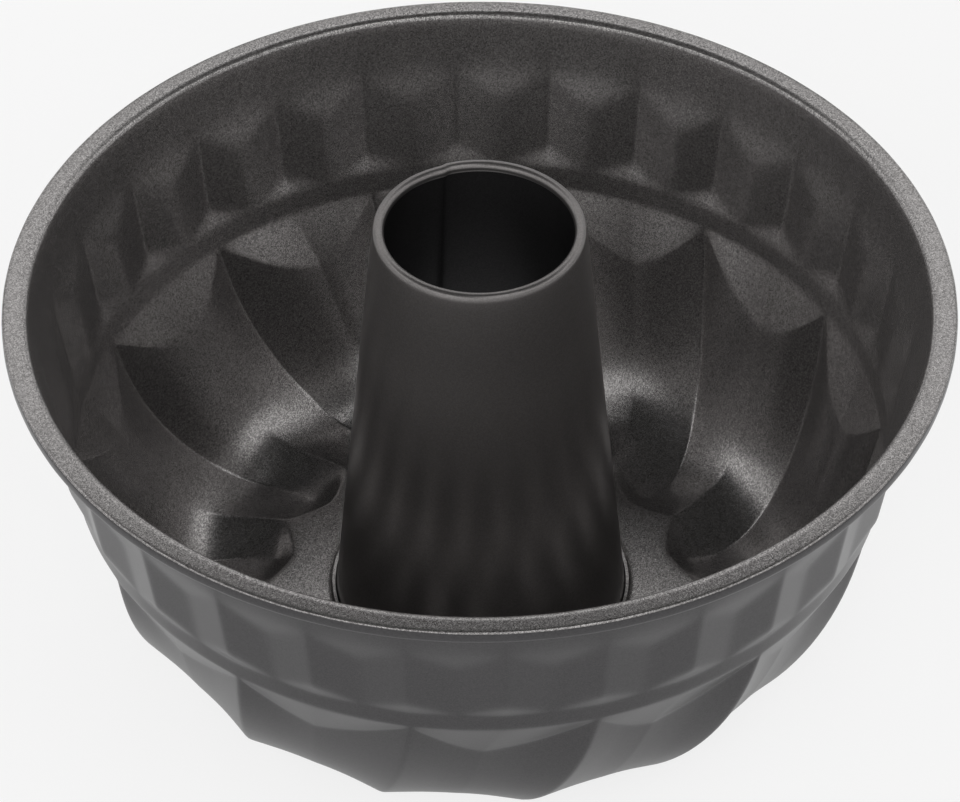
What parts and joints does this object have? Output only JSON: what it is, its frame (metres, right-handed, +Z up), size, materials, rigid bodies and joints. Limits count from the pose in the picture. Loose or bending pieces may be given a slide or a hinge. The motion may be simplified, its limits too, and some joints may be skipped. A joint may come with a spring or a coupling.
{
  "type": "ring cake tin",
  "caption": "Fluted ring cake tin of dark coated sheet steel: a drawn pan with a rolled rim and swirled lobes, and an open conical chimney fixed in its floor.",
  "frame": {"origin": "on the tin's axis, in the plane of the underside that it stands on", "axes": "+Z up along the chimney, +X to the right and +Y to the back as the picture sees it"},
  "size_m": [0.22, 0.22, 0.1164],
  "materials": {
    "coated_pan": "satin non-stick coat with a fine metallic fleck",
    "coated_chimney": "satin non-stick coat with a fine metallic fleck"
  },
  "bodies": {
    "root": {"pan_shell": "coated_pan", "chimney_tube": "coated_chimney"}
  },
  "joints": []
}
